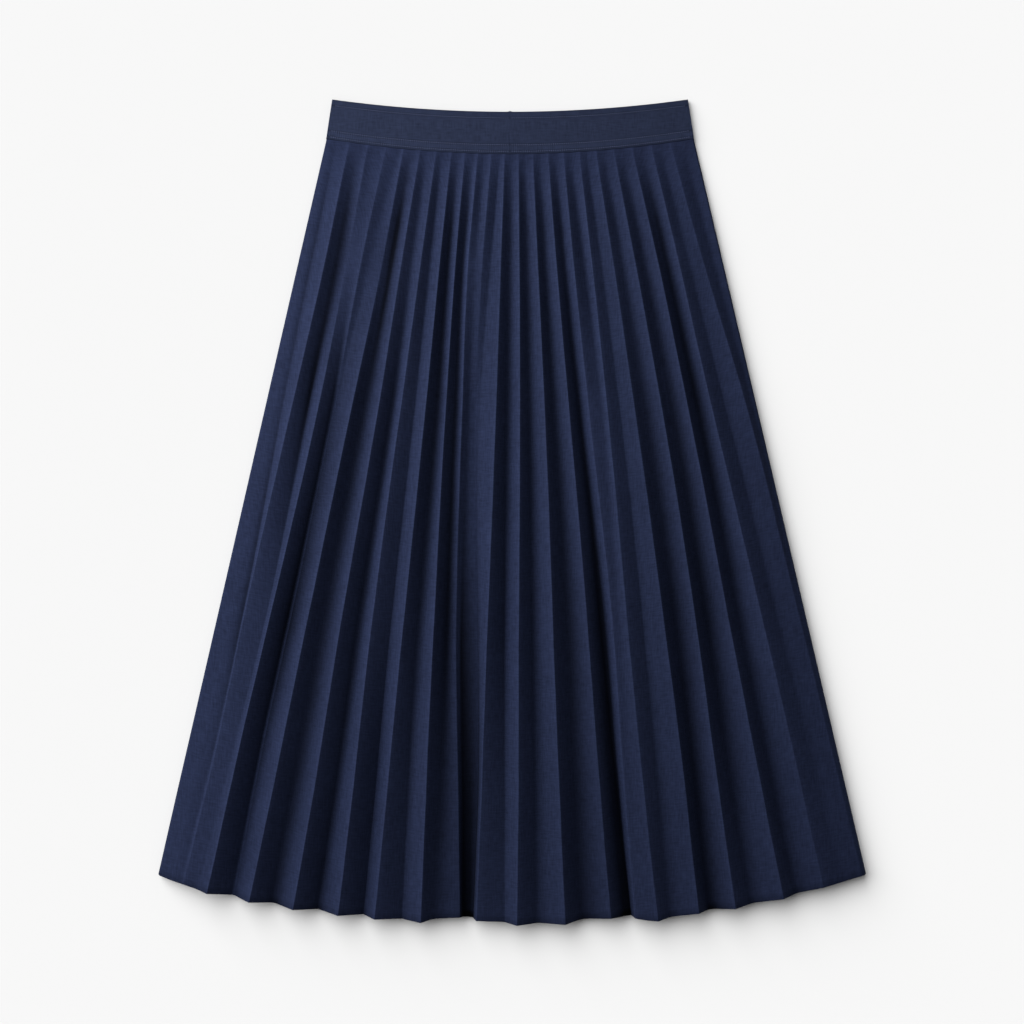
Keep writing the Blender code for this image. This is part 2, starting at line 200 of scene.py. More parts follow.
# Depth is how far a valley falls from the ridges beside it, and 1 is all the way. Shade is the
# painted shade it gets, and reach is how far it bends and how far that shade covers the next face.
VALLEYS = (
    #       depth                               shade                   reach
    # name  seam  hip   thigh knee  calf  hem   hip   thigh knee  hem   hip   thigh knee  hem
    ("side", 0.00, 0.00, 0.00, 0.00, 0.00, 0.00, 0.00, 0.00, 0.00, 0.00, 1.00, 1.00, 1.00, 1.00),
    ("roll", 0.80, 0.70, 0.60, 0.70, 0.40, 0.10, 1.10, 1.10, 1.75, 0.60, 0.30, 0.30, 0.25, 0.40),
    ("f01", 1.00, 1.00, 1.00, 0.40, 0.27, 0.16, 1.40, 1.80, 0.70, 0.00, 1.60, 0.40, 0.15, 0.60),
    ("f02", 0.60, 0.00, 0.80, 1.00, 1.00, 1.00, 0.30, 1.60, 1.70, 0.40, 1.00, 3.00, 3.00, 0.80),
    ("f03", 0.80, 0.45, 0.45, 1.00, 1.00, 1.00, 0.10, 1.30, 1.40, 0.35, 0.90, 1.80, 1.30, 0.20),
    ("f04", 1.00, 1.00, 1.00, 1.00, 1.00, 1.00, 1.95, 1.20, 1.10, 1.00, 1.00, 1.20, 1.50, 1.00),
    ("f05", 1.00, 0.62, 1.00, 1.00, 1.00, 1.00, 0.70, 1.20, 1.20, 1.00, 0.60, 0.70, 0.80, 0.40),
    ("f06", 1.00, 0.70, 0.60, 0.75, 1.00, 1.00, 0.70, 0.60, 0.70, 0.60, 0.40, 0.20, 0.20, 0.15),
    ("f07", 1.00, 1.00, 1.00, 0.88, 0.78, 0.72, 1.50, 1.50, 1.10, 0.60, 0.90, 1.40, 0.80, 0.15),
    ("f08", 1.00, 1.00, 1.00, 1.00, 0.80, 0.55, 1.30, 1.60, 1.60, 1.20, 0.90, 1.40, 1.50, 1.60),
    ("f09", 1.00, 0.15, 0.45, 1.00, 1.00, 1.00, 0.40, 0.80, 1.70, 2.30, 0.50, 0.50, 2.00, 3.50),
    ("f10", 1.00, 0.42, 0.35, 1.00, 1.00, 1.00, 0.50, 0.50, 0.80, 0.90, 0.30, 0.20, 0.15, 0.15),
    ("f11", 1.00, 0.85, 0.92, 0.88, 0.68, 0.48, 1.00, 1.10, 1.00, 0.70, 0.80, 0.80, 0.30, 0.25),
    ("f12", 1.00, 0.82, 0.88, 0.88, 0.78, 0.66, 1.00, 1.00, 1.00, 0.80, 0.80, 0.70, 0.70, 0.70),
    ("f13", 1.00, 0.82, 0.88, 0.97, 0.95, 0.92, 1.00, 1.10, 1.20, 1.10, 0.70, 0.90, 1.50, 1.70),
    ("f14", 1.00, 0.88, 0.98, 1.00, 1.00, 1.00, 1.20, 1.60, 2.05, 2.15, 0.60, 0.80, 0.90, 0.12),
    ("f15", 1.00, 0.78, 0.30, 0.13, 0.10, 0.00, 0.55, 0.40, 0.40, 0.30, 0.60, 0.60, 0.60, 0.60),
    ("f16", 1.00, 0.42, 0.39, 0.46, 0.46, 0.44, 0.60, 0.60, 0.90, 1.25, 0.35, 0.20, 0.20, 0.90),
    ("f17", 1.00, 0.60, 0.73, 0.92, 0.94, 0.94, 0.90, 1.10, 1.30, 1.40, 0.60, 1.30, 1.60, 1.50),
    ("f18", 1.00, 0.80, 0.85, 1.00, 0.85, 0.62, 0.90, 1.30, 1.30, 0.90, 0.80, 1.50, 1.50, 0.80),
    ("f19", 1.00, 1.00, 1.00, 0.82, 0.70, 0.58, 1.40, 1.60, 1.10, 0.90, 1.10, 1.40, 1.00, 0.80),
    ("f20", 1.00, 0.42, 0.48, 0.42, 0.28, 0.14, 0.45, 0.50, 0.80, 0.60, 0.50, 0.25, 0.50, 0.80),
    ("f21", 1.00, 0.50, 0.25, 0.03, 0.00, 0.00, 0.60, 0.80, 0.30, 0.00, 0.60, 0.60, 0.60, 0.60),
)
SHADE_LEVELS = ("hip", "thigh", "knee", "hem")
ROLL_ROUND = 10.0  # the rolled side's bend is this many times a pressed ridge's
SEAM_LIFT = 0.0006  # how far the pleats come up where they are sewn in
SEAM_FADE = 0.02
END_RISE = 0.34  # height of the right side fold, as a share of the pleats'
FOLD_GAP = 0.0003  # least distance across from one fold line to the next
WAVER_SINES = ((1.3, 0.5), (3.1, 0.3), (7.7, 0.2))  # waves down the skirt, and their weights
WAVER_STEP = 2.399  # from one fold line's phase to the next's
WAVER_SPREAD = 1.7
WAVER_AT_SEAM = 0.3
HEIGHT_WAVER = 0.03  # how far a fold's height strays, as a share of the pleats'
FULL_ROOM = 0.006  # folds closer together than this stray less
FOLD_LEVELS = ("seam", "hip", "thigh", "knee", "calf", "hem")
VALLEY_LEVELS = ("seam", "thigh", "knee", "hem")
DOWN = {level: down for level, down, *_ in SECTIONS}

# How a side's cloth goes round and under: each line's place from the side fold, and the share of the
# fold's rise that is taken off.
SIDE_INSET = 0.0014
SIDE_TURNS = (
    # in      up        rise
    (0.00077, -0.00245, 1.0),
    (0.00000, -0.00170, 1.0),
    (0.00010, -0.00060, 0.2),
)
SIDE_ROUND = 0.0006

# Where a bend is sampled: its share past a line, or 2 minus its share before the next line.
BEND_SAMPLES = (0, 0.4, 0.95, 1.05, 1.6)
BEND_ROOM = 0.48  # the most of a face that one bend takes
SHORTEST = 1e-5

# The panels' masks. Painted shade covers these shares of the faces beside a valley.
SHADE_BEFORE = 0.34
SHADE_AFTER = 0.39
DEEP_SHADE = 1.5  # more shade than this spreads further over the face before it
SHADE_MOST = 1.75
SHADE_FROM_SEAM = 0.10
SHADE_AT_SEAM = 0.12
# Widths of the painted highlight before and after each ridge, and of the painted shade along the hem.
RIDGE_HIGHLIGHT_BEFORE = 0.0024
RIDGE_HIGHLIGHT_AFTER = 0.0006
HEM_EDGE_SHADE = 0.0012
SHARP_ANGLE = np.radians(50)

# Loose creases, apart from the pleats: where each is centred, as shares of the half width and of the
# way down, its size, how deep (minus) or high (plus) it is, and its lean as x over y.
FRONT_CREASES = (
    # name           across   down   length  width   depth    lean
    ("hip_slack", -0.735, 0.170, 0.070, 0.0110, -0.0009, 0.30),
    ("hip_puff", -0.825, 0.260, 0.090, 0.0120, 0.0008, 0.26),
    ("side_sag", -0.955, 0.560, 0.110, 0.0130, -0.0010, 0.24),
    ("corner_curl", -0.960, 0.925, 0.060, 0.0150, 0.0016, 0.10),
    ("right_slack", 0.905, 0.190, 0.080, 0.0100, -0.0008, -0.22),
    ("right_puff", 0.930, 0.520, 0.120, 0.0120, 0.0009, -0.24),
    ("hem_lift", 0.560, 0.965, 0.035, 0.0140, 0.0012, 0.00),
    ("hem_drop", -0.540, 0.955, 0.040, 0.0120, -0.0010, 0.00),
    ("mid_slack", 0.080, 0.450, 0.090, 0.0070, -0.0006, 0.05),
)
BACK_CREASES = (
    # name           across   down   length  width   depth    lean
    ("seat_slack", 0.300, 0.210, 0.080, 0.0100, 0.0007, 0.10),
    ("side_sag", 0.900, 0.600, 0.120, 0.0130, 0.0008, -0.20),
    ("hem_lift", -0.450, 0.950, 0.050, 0.0130, 0.0009, 0.05),
    ("low_slack", -0.820, 0.730, 0.100, 0.0120, 0.0007, 0.22),
)

# Slub and dye strengths, and how much painted highlight ridges and painted shade valleys and edges get.
CLOTHS = {
    # name             streaks patches ridge valley edge
    "pleat_suiting": (0.75, 0.22, 0.24, 0.49, 0.35),
    "waistband_suiting": (0.75, 0.15, 0.45, 0.60, 0.55),
}

# The stage: where each light comes from, and the point that the camera is over.
FLOOR_HALF = 12.0
FLOOR_Z = -0.0002
FLOOR_LIGHT_FROM = (-0.80, 0.80, 0.90)
FLOOR_LIGHT_ANGLE = 1.15
SOFTBOX_FROM = (-0.80, 0.45, 0.60)
SOFTBOX_AWAY = 1.3
CAMERA_OVER = (0.0005, -0.00175)

# Rows of stitches on the front waistband, by distance from its top or seam edge.
STITCH_ROWS = (
    # name          edge    inset   pitch
    ("top_row", "top", 0.0060, 0.00210),
    ("upper_hem_row", "seam", 0.0088, 0.00205),
    ("lower_hem_row", "seam", 0.0026, 0.00205),
)


class SkirtShape(bpy.types.PropertyGroup):
    """Sizes of the cloth and its folds."""

    wall: FloatProperty(
        name="Pleat cloth", description="Its thickness", default=0.0006, unit="LENGTH"
    )
    ridge_round: FloatProperty(
        name="Ridge round", description="Half a ridge's bend", default=0.0006, unit="LENGTH"
    )
    valley_round: FloatProperty(
        name="Valley round", description="Half a valley's bend", default=0.0045, unit="LENGTH"
    )
    waver: FloatProperty(
        name="Waver", description="How far folds stray", default=0.00035, unit="LENGTH"
    )
    stitch_length: FloatProperty(
        name="Stitch length", description="Length of one stitch", default=0.00085, unit="LENGTH"
    )
    thread: FloatProperty(
        name="Thread", description="Thickness of the thread", default=0.00072, unit="LENGTH"
    )


class SkirtLook(bpy.types.PropertyGroup):
    """Colours and finish of the cloth and thread."""

    pleat_navy: FloatVectorProperty(
        name="Pleat cloth", description="Colour of the pleats", default=(0.0138, 0.0192, 0.0458),
        subtype="COLOR", min=0, max=1,
    )
    band_navy: FloatVectorProperty(
        name="Waistband cloth", description="Colour of the waistband", default=(0.0171, 0.0229, 0.0474),
        subtype="COLOR", min=0, max=1,
    )
    thread_navy: FloatVectorProperty(
        name="Thread", description="Colour of the stitches", default=(0.072, 0.100, 0.215),
        subtype="COLOR", min=0, max=1,
    )
    roughness: FloatProperty(
        name="Roughness", description="Roughness of the cloth", default=0.80, subtype="FACTOR"
    )
    sheen: FloatProperty(
        name="Sheen", description="Soft light off the nap", default=0.01, subtype="FACTOR"
    )
    yarn: FloatProperty(
        name="Yarn pitch", description="From one yarn to the next", default=0.00060, unit="LENGTH"
    )


class SkirtStage(bpy.types.PropertyGroup):
    """Floor, light and camera."""

    floor_white: FloatVectorProperty(
        name="Floor", description="Colour of the floor", default=(0.50, 0.50, 0.50), subtype="COLOR",
        min=0, max=1,
    )
    backdrop: FloatProperty(name="Backdrop", description="Brightness of the distance", default=0.93)
    sky: FloatProperty(name="Sky", description="Strength of the light from all round", default=0.27)
    floor_sun: FloatProperty(name="Floor light", description="The floor's own light", default=8.1)
    softbox: FloatProperty(
        name="Softbox", description="Power of the cloth's light", default=33.5, unit="POWER"
    )
    softbox_size: FloatProperty(
        name="Softbox size", description="Width of the large light", default=1.15, unit="LENGTH"
    )
    camera_height: FloatProperty(
        name="Camera height", description="Height over the floor", default=1.6, unit="LENGTH"
    )
    lens: FloatProperty(name="Lens", description="Focal length in millimetres", default=59.8)


def top_y(share):
    """Top edge of the waistband: a parabola, lowest at the centre, with a nub at the front seam."""
    nub = NUB_HEIGHT * np.exp(-((share * TOP_HALF / NUB_WIDTH) ** 2))
    return TOP_CORNER_Y - TOP_DIP * (1 - share**2) + nub


def seam_y(share):
    """Waistband seam: a parabola, lowest at the centre."""
    return SEAM_CENTRE_Y + SEAM_DIP * share**2


def hem_y(share):
    """Hem: a parabola that turns up a little more at its corners."""
    return HEM_CENTRE_Y + HEM_ROUND * share**2 + HEM_CORNER * share**8


def half_width(down):
    """Half the skirt's width, which grows evenly from the seam to the hem."""
    return SEAM_HALF + (HEM_HALF - SEAM_HALF) * down


def panel_y(share, lift, down):
    """Fold lines run straight from the waistband seam to the hem, plus a lift."""
    start = seam_y(share[0]) + PANEL_TUCK
    return start + (hem_y(share[-1]) + lift - start) * down[:, None]


def along(levels, values, down):
    """A smooth curve down the skirt: a cubic between named levels, its slopes averaged at each."""
    knots = np.array([DOWN[level] for level in levels])
    values = np.asarray(values, float)
    slopes = np.gradient(values, knots)
    i = np.clip(np.searchsorted(knots, down, side="right") - 1, 0, len(knots) - 2)
    step = knots[i + 1] - knots[i]
    u = (down - knots[i]) / step
    return (
        values[i] * (1 + 2 * u) * (1 - u) ** 2
        + slopes[i] * step * u * (1 - u) ** 2
        + values[i + 1] * u**2 * (3 - 2 * u)
        + slopes[i + 1] * step * u**2 * (u - 1)
    )


def section(column, down):
    """One column of SECTIONS as a smooth curve down the skirt."""
    return along([row[0] for row in SECTIONS], [row[column] for row in SECTIONS], down)


def straight(levels, values, down):
    """A column of a table, straight between its levels."""
    return np.interp(down, [DOWN[level] for level in levels], values)


def waver(lines, down, seed):
    """An uneven curve for each line: sine waves whose phases change from line to line."""
    line = np.arange(lines)[None, :]
    down = down[:, None]
    total = np.zeros((len(down), lines))
    for wave, weight in WAVER_SINES:
        phase = (line * WAVER_STEP + seed) * wave * WAVER_SPREAD
        total += weight * np.sin(2 * np.pi * wave * down + phase)
    return total


def front_lines(down, shape):
    """The front's fold lines as points of shape (levels, lines, 3), and each line's strength.

    Lines alternate ridge, above 0, and valley, below 0. Both sides turn down and under.
    """
    ridges = [along(FOLD_LEVELS, fold[1:7], down) for fold in FRONT_FOLDS]
    soft = {name: shares for name, *shares in SOFT_RIDGES}
    rises = [straight(FOLD_LEVELS, soft.get(fold[0], [1] * 6), down) for fold in FRONT_FOLDS]
    rises[0] = np.zeros_like(down)
    rises[-1] = np.full_like(down, END_RISE)
    share, rise, lift, strength = [], [], [], []
    for i, fold in enumerate(FRONT_FOLDS[:-1]):
        lean = along(VALLEY_LEVELS, fold[7:11], down)
        between = rises[i] + lean * (rises[i + 1] - rises[i])
        depth = straight(FOLD_LEVELS, VALLEYS[i][1:7], down)
        share += [ridges[i], ridges[i] + lean * (ridges[i + 1] - ridges[i])]
        rise += [rises[i], (1 - depth) * between]
        lift += [fold[11], (fold[11] + FRONT_FOLDS[i + 1][11]) / 2]
        strength += [rises[i], -depth]
    share = np.stack(share + [ridges[-1]], axis=1)
    rise = np.stack(rise + [rises[-1]], axis=1)
    strength = np.stack(strength + [rises[-1]], axis=1)
    lift = np.array(lift + [FRONT_FOLDS[-1][11]])
    x = share * half_width(down)[:, None] + WAIST_SHIFT * (1 - down[:, None])
    count = x.shape[1]
    x[:, 1:-1] += shape.waver * (WAVER_AT_SEAM + down[:, None]) * waver(count, down, seed=0.4)[:, 1:-1]
    spaced = np.arange(count) * FOLD_GAP
    x = np.maximum.accumulate(x - spaced, axis=1) + spaced
    x = np.minimum(x, x[:, -1:] - spaced[::-1])
    at_seam = SEAM_LIFT * np.exp(-((down / SEAM_FADE) ** 2))
    z = (FRONT_REST + section(3, down) + at_seam)[:, None] + rise * section(2, down)[:, None]
    gaps = np.diff(x, axis=1)
    room = np.clip(np.minimum(gaps[:, :-1], gaps[:, 1:]) / FULL_ROOM, 0, 1)
    stray = HEIGHT_WAVER * section(2, down)[:, None] * room
    z[:, 1:-1] += stray * waver(count, down, seed=2.9)[:, 1:-1]
    z[:, 0] = FRONT_REST + section(4, down)
    points = np.stack([x, panel_y(share, lift, down), z], axis=2)
    turned = len(SIDE_TURNS)
    return side_turns(points, section(4, down)), np.pad(strength, ((0, 0), (turned, turned)))


def side_turns(points, side):
    """Adds lines outside each side line, which carry the cloth round and under in a small bend.

    The lower ones rest over the back, however high the side's fold stands.
    """
    out = []
    for edge, sign in ((points[:, :1], 1), (points[:, -1:], -1)):
        extra = edge[..., 2] - FRONT_REST - side[:, None]
        lines = []
        for inwards, up, share in SIDE_TURNS:
            line = edge + np.array([sign * inwards, 0, up])
            line[..., 2] -= share * extra
            lines.append(line)
        out.append(np.concatenate(lines if sign > 0 else lines[::-1], axis=1))
    body = points.copy()
    body[:, 0, 0] += SIDE_INSET
    body[:, -1, 0] -= SIDE_INSET
    return np.concatenate([out[0], body, out[1]], axis=1)


def back_lines(down):
    """The back's fold lines: level lands on the floor with low crests between them."""
    pitch = 2 * BACK_REACH / (BACK_FOLDS - 1)
    lines = [(-1.0, -1.0), (-BACK_SIDE_LAND, 0.0)]
    for k in range(BACK_FOLDS):
        crest = -BACK_REACH + k * pitch + BACK_WAVER * np.sin(BACK_WAVER_STEP * k)
        foot = BACK_CREST_SHARE / 2 * pitch
        lines += [(crest - foot, 0.0), (crest, 1.0), (crest + foot, 0.0)]
    lines += [(BACK_SIDE_LAND, 0.0), (1.0, -1.0)]
    share, rise = (np.tile(column, (len(down), 1)) for column in np.array(lines).T)
    x = share * (half_width(down) - BACK_NARROWER)[:, None] + WAIST_SHIFT * (1 - down[:, None])
    side, crest = section(4, down)[:, None] * BACK_SIDE_RISE, rise * section(3, down)[:, None]
    z = BACK_CLOTH + np.where(rise < 0, side, crest)
    y = panel_y(share, BACK_HEM_SHORTER, down)
    # Strength is minus BACK_SHADE at the crests' feet, which gives painted shade there.
    return np.stack([x, y, z], axis=2), np.maximum(rise, 0) - BACK_SHADE * (rise == 0)


def bent_cloth(lines, rounds):
    """Cloth through fold lines, with its own length as the parameter.

    Between two lines it runs straight. At line k it turns over the length rounds[k] each side, so its
    path is a straight run plus, for each line, the change of direction times a ramp: zero before the
    bend, a parabola in it, and the distance past the line after it.
    """
    step = np.diff(lines, axis=1)
    long = np.maximum(np.hypot(step[..., 0], step[..., 2]), SHORTEST)
    knots = np.concatenate([np.zeros((len(lines), 1)), np.cumsum(long, axis=1)], axis=1)
    heading = step / long[..., None]
    room = np.minimum(long[:, :-1], long[:, 1:]) * BEND_ROOM
    bend = np.minimum(rounds[:, 1:-1], room)
    ends = np.pad(bend, ((0, 0), (1, 1)), constant_values=SHORTEST)
    part = np.array(BEND_SAMPLES)
    first = part[part <= 1][None, None, :] * ends[:, :-1, None]
    last = long[..., None] - (2 - part[part > 1])[None, None, :] * ends[:, 1:, None]
    middle = first[..., -1:] + (last[..., :1] - first[..., -1:]) * np.array([1 / 3, 2 / 3])
    inside = knots[:, :-1, None] + np.concatenate([first, middle, last], axis=2)
    s = np.concatenate([inside.reshape(len(lines), -1), knots[:, -1:]], axis=1)
    points = lines[:, :1] + heading[:, :1] * s[..., None]
    turn = np.diff(heading, axis=1)
    for k in range(turn.shape[1]):
        past = s - knots[:, k + 1 : k + 2]
        r = bend[:, k : k + 1]
        ramp = np.where(np.abs(past) < r, (past + r) ** 2 / (4 * r), np.maximum(past, 0))
        points = points + turn[:, k : k + 1] * ramp[..., None]
    return points, s, knots


def crease(points, creases):
    """How far loose creases move the cloth: each is a lens-shaped swell along its lean."""
    total = np.zeros(points.shape[:2])
    for _, across, level, length, width, depth, lean in creases:
        centre_x = across * half_width(level)
        centre_y = seam_y(across) + (hem_y(across) - seam_y(across)) * level
        dx = points[..., 0] - centre_x
        dy = points[..., 1] - centre_y
        side = dx - lean * dy
        total += depth * np.exp(-((side / width) ** 2) - (dy / length) ** 2)
    return total


def marks(s, knots, strength, before, after):
    """A mask along the cloth: a soft spot at every line, as strong as the line.

    It fades over the lengths before and after the line, as exp(-(distance / length) ** 2).
    """
    total = np.zeros_like(s)
    for k in range(knots.shape[1]):
        past = s - knots[:, k : k + 1]
        fade = np.where(past < 0, before[:, k : k + 1], after[:, k : k + 1])
        total += strength[:, k : k + 1] * np.exp(-((past / fade) ** 2))
    return total


def valley_shapes(down, count):
    """Each front line's painted shade and reach: VALLEYS at its valleys, and 1 at its ridges."""
    shade, reach = np.ones((2, len(down), count))
    for i, valley in enumerate(VALLEYS):
        ridge = len(SIDE_TURNS) + 2 * i
        shade[:, ridge + 1] = straight(SHADE_LEVELS, valley[7:11], down)
        reach[:, ridge + 1] = straight(SHADE_LEVELS, valley[11:], down)
        if valley[0] == "roll":
            reach[:, ridge] = ROLL_ROUND
    return shade, reach


def cloth_normals(points):
    """Unit normals of a grid: across its averaged directions along rows and along columns."""

    def direction(axis):
        step = np.diff(points, axis=axis)
        step /= np.maximum(np.linalg.norm(step, axis=2, keepdims=True), 1e-9)
        pad = [(0, 0)] * 3
        pad[axis] = (1, 1)
        step = np.pad(step, pad, mode="edge")
        return step[:-1] + step[1:] if axis == 0 else step[:, :-1] + step[:, 1:]

    normal = np.cross(direction(0), direction(1))
    return normal / np.linalg.norm(normal, axis=2, keepdims=True)


def closed_shell(name, top, bottom, uv, masks, material):
    """One closed body from an upper and a lower grid, with a strip round the rim that joins them.

    Its UV map is in metres of cloth, and its masks are on its points.
    """
    rows, columns = top.shape[:2]
    index = np.arange(rows * columns).reshape(rows, columns)
    under = index + rows * columns
    quads = np.stack([index[:-1, :-1], index[1:, :-1], index[1:, 1:], index[:-1, 1:]], axis=2)
    quads = quads.reshape(-1, 4)
    strips = [
        np.stack([a[:-1], b[:-1], b[1:], a[1:]], axis=1)
        for a, b in (
            (index[0, ::-1], under[0, ::-1]),
            (index[-1], under[-1]),
            (index[:, 0], under[:, 0]),
            (index[::-1, -1], under[::-1, -1]),
        )
    ]
    faces = np.concatenate([quads, quads[:, ::-1] + rows * columns, *strips])
    points = np.concatenate([top, bottom]).reshape(-1, 3)
    piece = new_piece(name, points, faces.tolist(), material)
    mesh = piece.data
    corners = np.empty(len(mesh.loops), np.int32)
    mesh.loops.foreach_get("vertex_index", corners)
    uv = np.tile(uv.reshape(-1, 2), (2, 1))[corners].astype(np.float32)
    mesh.uv_layers.new(name="cloth").data.foreach_set("uv", uv.ravel())
    for key, mask in masks.items():
        values = np.tile(mask.ravel(), 2).astype(np.float32)
        mesh.attributes.new(key, "FLOAT", "POINT").data.foreach_set("value", values)
    mesh.set_sharp_from_angle(angle=SHARP_ANGLE)
    mesh.update()
    return piece


def new_piece(name, points, faces, material):
    """A smooth mesh object from an array of points and a list of faces."""
    mesh = bpy.data.meshes.new(name)
    mesh.from_pydata(points.tolist(), [], faces)
    mesh.materials.append(material)
    mesh.polygons.foreach_set("use_smooth", np.ones(len(mesh.polygons), bool))
    piece = bpy.data.objects.new(name, mesh)
    bpy.context.scene.collection.objects.link(piece)
    return piece


def pleated_panel(name, lines, strength, shade, reach, down, creases, look, shape):
    """A pleated panel as a closed wall, from its fold lines.

    Its masks paint a highlight on ridges, shade in and beside valleys, and shade along the hem.
    """
    rounds = reach * np.where(strength > 0, shape.ridge_round, shape.valley_round)
    turned = len(SIDE_TURNS)
    rounds[:, :turned] = rounds[:, -turned:] = SIDE_ROUND
    points, s, knots = bent_cloth(lines, rounds)
    points[..., 2] += crease(points, creases)
    wall = shape.wall * cloth_normals(points)
    run = np.cumsum(np.linalg.norm(np.diff(points, axis=0), axis=2), axis=0)
    run = np.pad(run, ((1, 0), (0, 0)))
    uv = np.stack([s - s[:, -1:] / 2, run], axis=2)
    face = np.pad(np.diff(knots, axis=1), ((0, 0), (1, 1)), mode="edge")
    before = np.clip(shade - DEEP_SHADE, SHADE_BEFORE, 1) * face[:, :-1]
    after = SHADE_AFTER * reach * face[:, 1:]
    soft, thin = np.full_like(knots, RIDGE_HIGHLIGHT_BEFORE), np.full_like(knots, RIDGE_HIGHLIGHT_AFTER)
    # Painted shade in and beside the valleys, which fades near the seam.
    dim = np.clip(down / SHADE_FROM_SEAM, SHADE_AT_SEAM, 1)[:, None]
    painted_shade = np.maximum(-strength, 0) * shade * dim
    masks = {
        "press_and_highlight": np.clip(marks(s, knots, np.maximum(strength, 0), soft, thin), 0, 1),
        "painted_shade": np.clip(marks(s, knots, painted_shade, before, after), 0, SHADE_MOST),
        "edge": np.exp(-(((run - run[-1:]) / HEM_EDGE_SHADE) ** 2)),
    }
    material = suiting("pleat_suiting", look.pleat_navy, look)
    return closed_shell(name, points, points - wall, uv, masks, material)


def band_y(share, depth):
    """Height up the skirt at a share of the way down the waistband."""
    return top_y(share) + (seam_y(share) - top_y(share)) * depth


def band_x(share, depth):
    """Place across: the waistband widens evenly on the way down."""
    return WAIST_SHIFT + share * (TOP_HALF + (SEAM_HALF - TOP_HALF) * depth)


def stitch_depth(edge, inset):
    """The share of the way down the waistband of a row of stitches."""
    return inset / BAND_HEIGHT if edge == "top" else 1 - inset / BAND_HEIGHT


def stitch_count(pitch):
    """How many stitches a row along the front waistband has."""
    return int(2 * SEAM_HALF * 0.985 / pitch)


def ribs(share, depth):
    """The ribbed strip near the seam: a mask with soft edges, and a sine wave along the waistband."""
    mask = np.exp(-(((1 - depth) * BAND_HEIGHT - RIB_PLACE) / RIB_WIDTH) ** 4)
    return mask, np.sin(2 * np.pi * share * SEAM_HALF / RIB_PITCH)


def band_relief(share, depth):
    """The front waistband's face: pulled in at each row of stitches, ribbed near the seam, full
    between the rows, and in low waves all over."""
    start, end = BAND_FULL_SPAN
    relief = BAND_FULL * np.sin(np.pi * np.clip((depth - start) / (end - start), 0, 1)) ** 2
    for _, edge, inset, pitch in STITCH_ROWS:
        off = (depth - stitch_depth(edge, inset)) * BAND_HEIGHT
        pull = 0.75 + 0.25 * np.cos(2 * np.pi * share * SEAM_HALF / pitch)
        relief -= ROW_PULL * pull * np.exp(-((off / ROW_WIDTH) ** 2))
    mask, wave = ribs(share, depth)
    relief += RIB_HEIGHT * mask * wave
    relief += BAND_WAVE * np.sin(share * 23 + depth * 3) * np.sin(depth * np.pi)
    return relief


def needle_hole_shade(share, depth):
    """A mask of painted shade in small round needle holes along each row, one between two stitches."""
    total = np.zeros_like(share)
    for _, edge, inset, pitch in STITCH_ROWS:
        off = (depth - stitch_depth(edge, inset)) * BAND_HEIGHT
        step = np.sin(np.pi * (share * SEAM_HALF / pitch + (stitch_count(pitch) - 1) / 2)) ** 2
        total += step * np.exp(-((off / HOLE_WIDTH) ** 2))
    return HOLE_SHADE * np.clip(total, 0, 1)


def band_top(share, depth, low, relief):
    """Upper face of a waistband strip: level, with edges rounded as a quarter ellipse."""
    reach = np.minimum(depth, 1 - depth) * BAND_HEIGHT
    turn = np.clip(1 - reach / BAND_ROUND, 0, 1)
    return low + BAND - BAND_DROP * (1 - np.sqrt(1 - 0.96 * turn**2)) + relief * (turn == 0)


def waistband_strip(name, start, end, low, columns, front, material):
    """A strip of the waistband between two shares of the half width, its underside at low."""
    rim = np.array([0.0, 0.004, 0.012, 0.0275])
    share = start + (end - start) * np.concatenate(
        [[0, 0.002, 0.005], np.linspace(0.008, 0.992, columns), [0.995, 0.998, 1]]
    )
    depth = np.concatenate([rim, np.linspace(0.045, 0.955, 52), 1 - rim[::-1]])[:, None]
    share = np.tile(share, (len(depth), 1))
    depth = np.tile(depth, (1, share.shape[1]))
    if front:
        relief = band_relief(share, depth)
    else:
        relief = BACK_GATHER * (np.sin(share * BACK_GATHERS) - 1) * np.sin(np.pi * depth) ** 0.5
    inner = np.minimum(share - start, end - share) * TOP_HALF / BAND_END
    x, y = band_x(share, depth), band_y(share, depth)
    z = band_top(share, depth, low, relief) - BAND_END_DROP * np.clip(1 - inner, 0, 1) ** 2
    top = np.stack([x, y, z], axis=2)
    bottom = np.stack([x, y, low + BAND_DROP * (low + BAND - z) / BAND], axis=2)
    uv = np.stack([x, y], axis=2)
    # Painted shade lines along the top edge and the seam, and at the cut ends.
    edge = np.exp(-((depth * BAND_HEIGHT / TOP_EDGE_SHADE) ** 2))
    edge += np.exp(-(((1 - depth) * BAND_HEIGHT / SEAM_EDGE_SHADE) ** 2))
    edge = np.maximum(edge, END_SHADE * np.exp(-(inner**2)))
    rib, wave = ribs(share, depth)
    # The masks: a painted highlight on the ribs, painted shade in the needle holes and along the edges.
    masks = {
        "press_and_highlight": RIB_HIGHLIGHT * front * rib * (0.5 + 0.5 * wave),
        "painted_shade": needle_hole_shade(share, depth) * front,
        "edge": np.clip(edge, 0, 1),
    }
    return closed_shell(name, top, bottom, uv, masks, material)


